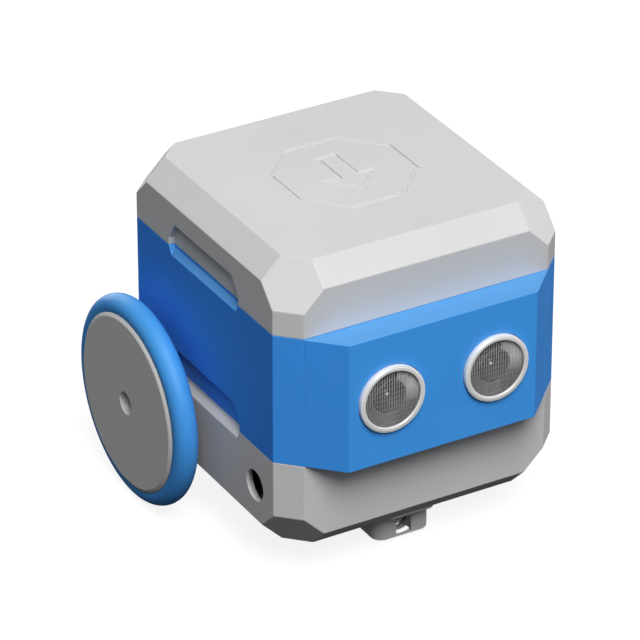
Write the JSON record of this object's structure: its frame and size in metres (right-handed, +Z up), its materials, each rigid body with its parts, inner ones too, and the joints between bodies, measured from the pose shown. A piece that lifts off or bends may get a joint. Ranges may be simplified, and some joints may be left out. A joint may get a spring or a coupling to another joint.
{
  "type": "educational coding robot",
  "caption": "Cube-shaped two-wheeled coding robot: chamfered shells, sonar eyes in a raised face, ball caster, lift-off top cover and geared servo drive.",
  "frame": {"origin": "on the ground, under the middle of the robot's overall box", "axes": "+Z up; -Y is the front, where the sonar eyes look; +X runs along the axle, out through the right wheel as node names have it"},
  "size_m": [0.0902, 0.0864, 0.0792],
  "materials": {
    "shell_grey": "fine satin moulding",
    "shell_blue": "fine satin moulding",
    "wheel_grey": "satin moulding",
    "tyre_blue": "smooth round ring",
    "caster_grey": "satin moulding",
    "tray_black": "matt",
    "servo_shell": "smoky moulding",
    "gear_brass": "cut teeth",
    "motor_steel": "drawn can",
    "ball_chrome": "polished",
    "screw_steel": "zinc plated",
    "can_aluminium": "satin",
    "mesh_steel": "woven",
    "core_black": "matt",
    "circuit_board": "solder mask",
    "shield_steel": "tinned",
    "switch_black": "matt",
    "cap_white": "satin",
    "battery_foil": "laminated pouch foil",
    "lead_black": "soft jacket",
    "lead_red": "soft jacket"
  },
  "bodies": {
    "chassis": {"base_shell": "shell_grey", "mid_shell": "shell_blue", "face_mask": "shell_blue", "inner_tray": "tray_black", "servo_gear_cover_left": "servo_shell", "servo_case_left": "servo_shell", "servo_end_cap_left": "servo_shell", "motor_can_left": "motor_steel", "servo_lead_left": "lead_black", "servo_gear_cover_right": "servo_shell", "servo_case_right": "servo_shell", "servo_end_cap_right": "servo_shell", "motor_can_right": "motor_steel", "servo_lead_right": "lead_black", "caster_housing": "caster_grey", "caster_screws": "screw_steel", "sonar_board": "circuit_board", "sonar_can_left": "can_aluminium", "sonar_can_right": "can_aluminium", "sonar_mesh_left": "mesh_steel", "sonar_mesh_right": "mesh_steel", "sonar_core_left": "core_black", "sonar_core_right": "core_black", "sonar_screws": "screw_steel", "sonar_lead": "lead_black", "controller_board": "circuit_board", "radio_module": "shield_steel", "usb_port": "shield_steel", "power_switch": "shield_steel", "button_switch": "switch_black", "buzzer": "switch_black", "port_sockets": "cap_white", "battery_pack": "battery_foil", "battery_lead": "lead_red", "line_sensor_left": "circuit_board", "line_sensor_right": "circuit_board", "line_sensor_leads": "lead_black", "servo_screws": "screw_steel", "tray_screws": "screw_steel", "board_screws": "screw_steel"},
    "top_cover": {"top_cover": "shell_grey"},
    "caster_ball": {"caster_ball": "ball_chrome"},
    "power_slider": {"power_slider": "switch_black"},
    "button_cap": {"button_cap": "cap_white"},
    "wheel_left": {"wheel_left": "wheel_grey", "tyre_left": "tyre_blue", "wheel_screw_left": "screw_steel", "output_shaft_left": "gear_brass"},
    "gear_one_left": {"gear_one_left": "gear_brass"},
    "gear_two_left": {"gear_two_left": "gear_brass"},
    "gear_three_left": {"gear_three_left": "gear_brass"},
    "motor_rotor_left": {"motor_rotor_left": "gear_brass"},
    "wheel_right": {"wheel_right": "wheel_grey", "tyre_right": "tyre_blue", "wheel_screw_right": "screw_steel", "output_shaft_right": "gear_brass"},
    "gear_one_right": {"gear_one_right": "gear_brass"},
    "gear_two_right": {"gear_two_right": "gear_brass"},
    "gear_three_right": {"gear_three_right": "gear_brass"},
    "motor_rotor_right": {"motor_rotor_right": "gear_brass"}
  },
  "joints": [
    {"name": "top_cover_lift", "type": "slide", "parent": "chassis", "child": "top_cover", "axis": [0, 0, 1], "range_m": [0, 0.045]},
    {"name": "caster_roll", "type": "hinge", "parent": "chassis", "child": "caster_ball", "pos_m": [0, -0.0194, 0.005], "axis": [1, 0, 0], "continuous": true},
    {"name": "power_slide", "type": "slide", "parent": "chassis", "child": "power_slider", "axis": [1, 0, 0], "range_m": [0, 0.002]},
    {"name": "button_press", "type": "slide", "parent": "chassis", "child": "button_cap", "axis": [0, -1, 0], "range_m": [0, 0.0008], "stiffness_N_per_m": 300, "springref_m": -0.0004},
    {"name": "wheel_left_spin", "type": "hinge", "parent": "chassis", "child": "wheel_left", "pos_m": [-0.0416, 0.0188, 0.0244], "axis": [1, 0, 0], "continuous": true},
    {"name": "gear_three_left_spin", "type": "hinge", "parent": "chassis", "child": "gear_three_left", "pos_m": [-0.0289, 0.01286, 0.0244], "axis": [1, 0, 0], "continuous": true},
    {"name": "gear_two_left_spin", "type": "hinge", "parent": "chassis", "child": "gear_two_left", "pos_m": [-0.0272, 0.0188, 0.0244], "axis": [1, 0, 0], "continuous": true},
    {"name": "gear_one_left_spin", "type": "hinge", "parent": "chassis", "child": "gear_one_left", "pos_m": [-0.0255, 0.01286, 0.0244], "axis": [1, 0, 0], "continuous": true},
    {"name": "motor_rotor_left_spin", "type": "hinge", "parent": "chassis", "child": "motor_rotor_left", "pos_m": [-0.022, 0.00692, 0.0244], "axis": [1, 0, 0], "continuous": true},
    {"name": "wheel_right_spin", "type": "hinge", "parent": "chassis", "child": "wheel_right", "pos_m": [0.0416, 0.0188, 0.0244], "axis": [1, 0, 0], "continuous": true},
    {"name": "gear_three_right_spin", "type": "hinge", "parent": "chassis", "child": "gear_three_right", "pos_m": [0.0289, 0.01286, 0.0244], "axis": [1, 0, 0], "continuous": true},
    {"name": "gear_two_right_spin", "type": "hinge", "parent": "chassis", "child": "gear_two_right", "pos_m": [0.0272, 0.0188, 0.0244], "axis": [1, 0, 0], "continuous": true},
    {"name": "gear_one_right_spin", "type": "hinge", "parent": "chassis", "child": "gear_one_right", "pos_m": [0.0255, 0.01286, 0.0244], "axis": [1, 0, 0], "continuous": true},
    {"name": "motor_rotor_right_spin", "type": "hinge", "parent": "chassis", "child": "motor_rotor_right", "pos_m": [0.022, 0.00692, 0.0244], "axis": [1, 0, 0], "continuous": true}
  ],
  "couplings": [
    {"joint": "gear_three_left_spin", "follows": "wheel_left_spin", "ratio": -2},
    {"joint": "gear_two_left_spin", "follows": "wheel_left_spin", "ratio": 4},
    {"joint": "gear_one_left_spin", "follows": "wheel_left_spin", "ratio": -8},
    {"joint": "motor_rotor_left_spin", "follows": "wheel_left_spin", "ratio": 16},
    {"joint": "gear_three_right_spin", "follows": "wheel_right_spin", "ratio": -2},
    {"joint": "gear_two_right_spin", "follows": "wheel_right_spin", "ratio": 4},
    {"joint": "gear_one_right_spin", "follows": "wheel_right_spin", "ratio": -8},
    {"joint": "motor_rotor_right_spin", "follows": "wheel_right_spin", "ratio": 16}
  ]
}
